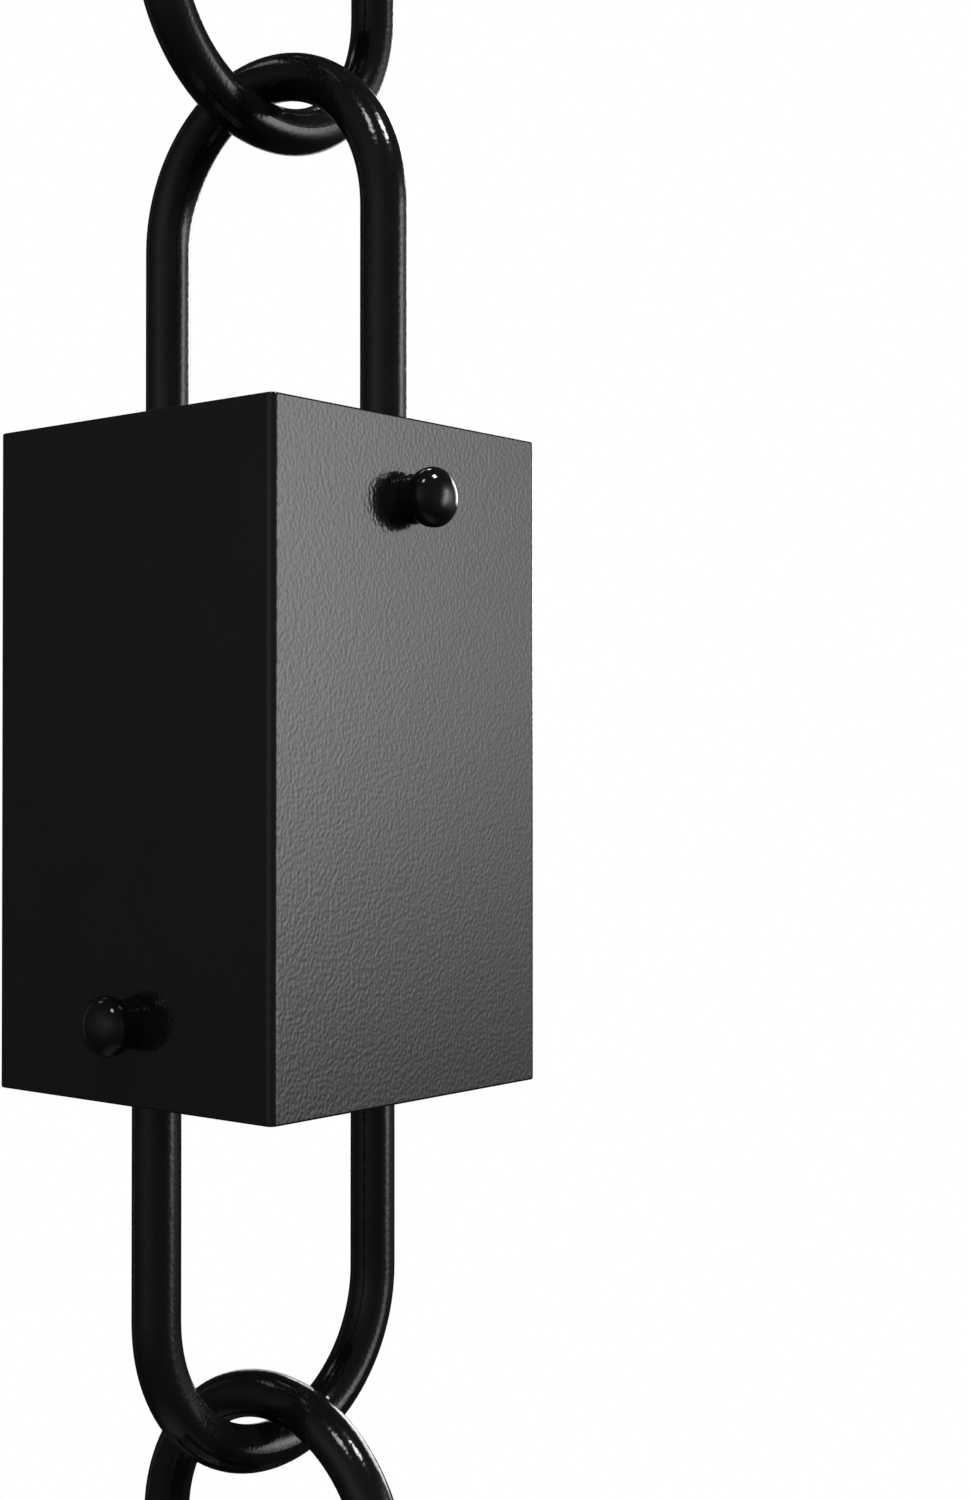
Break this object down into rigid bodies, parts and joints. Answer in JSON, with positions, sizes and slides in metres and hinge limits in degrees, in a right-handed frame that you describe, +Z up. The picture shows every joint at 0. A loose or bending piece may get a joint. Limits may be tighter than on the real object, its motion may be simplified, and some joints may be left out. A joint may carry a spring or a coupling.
{
  "type": "rain chain",
  "caption": "Hanging rain chain of open square metal cups, each held between two wire bails with domed end caps that hook into the next, leading roof water down from a gutter.",
  "frame": {"origin": "hanging point: underside of the top bail's crown, in the middle of the rod", "axes": "+Z up along the hanging chain, X along the upper bails' hinge ends, Y along the lower bails' hinge ends"},
  "size_m": [0.0636, 0.0636, 0.9102],
  "materials": {
    "cup_coat": "satin",
    "rod_coat": "satin",
    "cap_coat": "gloss"
  },
  "bodies": {
    "upper_bail_1": {"upper_bail_1": "rod_coat", "upper_bail_cap_left_1": "cap_coat", "upper_bail_cap_right_1": "cap_coat"},
    "cup_1": {"cup_1": "cup_coat"},
    "lower_bail_1": {"lower_bail_1": "rod_coat", "lower_bail_cap_front_1": "cap_coat", "lower_bail_cap_back_1": "cap_coat"},
    "upper_bail_2": {"upper_bail_2": "rod_coat", "upper_bail_cap_left_2": "cap_coat", "upper_bail_cap_right_2": "cap_coat"},
    "cup_2": {"cup_2": "cup_coat"},
    "lower_bail_2": {"lower_bail_2": "rod_coat", "lower_bail_cap_front_2": "cap_coat", "lower_bail_cap_back_2": "cap_coat"},
    "upper_bail_3": {"upper_bail_3": "rod_coat", "upper_bail_cap_left_3": "cap_coat", "upper_bail_cap_right_3": "cap_coat"},
    "cup_3": {"cup_3": "cup_coat"},
    "lower_bail_3": {"lower_bail_3": "rod_coat", "lower_bail_cap_front_3": "cap_coat", "lower_bail_cap_back_3": "cap_coat"},
    "upper_bail_4": {"upper_bail_4": "rod_coat", "upper_bail_cap_left_4": "cap_coat", "upper_bail_cap_right_4": "cap_coat"},
    "cup_4": {"cup_4": "cup_coat"},
    "lower_bail_4": {"lower_bail_4": "rod_coat", "lower_bail_cap_front_4": "cap_coat", "lower_bail_cap_back_4": "cap_coat"},
    "upper_bail_5": {"upper_bail_5": "rod_coat", "upper_bail_cap_left_5": "cap_coat", "upper_bail_cap_right_5": "cap_coat"},
    "cup_5": {"cup_5": "cup_coat"},
    "lower_bail_5": {"lower_bail_5": "rod_coat", "lower_bail_cap_front_5": "cap_coat", "lower_bail_cap_back_5": "cap_coat"}
  },
  "joints": [
    {"name": "unit_1_cup_tilt", "type": "hinge", "parent": "upper_bail_1", "child": "cup_1", "pos_m": [0, 0, -0.05633], "axis": [1, 0, 0], "range_deg": [-59, 59]},
    {"name": "unit_1_lower_bail_tilt", "type": "hinge", "parent": "cup_1", "child": "lower_bail_1", "pos_m": [0, 0, -0.12343], "axis": [0, 1, 0], "range_deg": [-59, 59]},
    {"name": "unit_2_hook_swing", "type": "hinge", "parent": "lower_bail_1", "child": "upper_bail_2", "pos_m": [0, 0, -0.18293], "axis": [0, -1, 0], "range_deg": [-120, 120]},
    {"name": "unit_2_cup_tilt", "type": "hinge", "parent": "upper_bail_2", "child": "cup_2", "pos_m": [0, 0, -0.23578], "axis": [-1, 0, 0], "range_deg": [-59, 59]},
    {"name": "unit_2_lower_bail_tilt", "type": "hinge", "parent": "cup_2", "child": "lower_bail_2", "pos_m": [0, 0, -0.30288], "axis": [0, 1, 0], "range_deg": [-59, 59]},
    {"name": "unit_3_hook_swing", "type": "hinge", "parent": "lower_bail_2", "child": "upper_bail_3", "pos_m": [0, 0, -0.36238], "axis": [0, -1, 0], "range_deg": [-120, 120]},
    {"name": "unit_3_cup_tilt", "type": "hinge", "parent": "upper_bail_3", "child": "cup_3", "pos_m": [0, 0, -0.41523], "axis": [1, 0, 0], "range_deg": [-59, 59]},
    {"name": "unit_3_lower_bail_tilt", "type": "hinge", "parent": "cup_3", "child": "lower_bail_3", "pos_m": [0, 0, -0.48233], "axis": [0, 1, 0], "range_deg": [-59, 59]},
    {"name": "unit_4_hook_swing", "type": "hinge", "parent": "lower_bail_3", "child": "upper_bail_4", "pos_m": [0, 0, -0.54183], "axis": [0, -1, 0], "range_deg": [-120, 120]},
    {"name": "unit_4_cup_tilt", "type": "hinge", "parent": "upper_bail_4", "child": "cup_4", "pos_m": [0, 0, -0.59467], "axis": [-1, 0, 0], "range_deg": [-59, 59]},
    {"name": "unit_4_lower_bail_tilt", "type": "hinge", "parent": "cup_4", "child": "lower_bail_4", "pos_m": [0, 0, -0.66178], "axis": [0, 1, 0], "range_deg": [-59, 59]},
    {"name": "unit_5_hook_swing", "type": "hinge", "parent": "lower_bail_4", "child": "upper_bail_5", "pos_m": [0, 0, -0.72127], "axis": [0, -1, 0], "range_deg": [-120, 120]},
    {"name": "unit_5_cup_tilt", "type": "hinge", "parent": "upper_bail_5", "child": "cup_5", "pos_m": [0, 0, -0.77412], "axis": [1, 0, 0], "range_deg": [-59, 59]},
    {"name": "unit_5_lower_bail_tilt", "type": "hinge", "parent": "cup_5", "child": "lower_bail_5", "pos_m": [0, 0, -0.84123], "axis": [0, 1, 0], "range_deg": [-59, 59]}
  ]
}
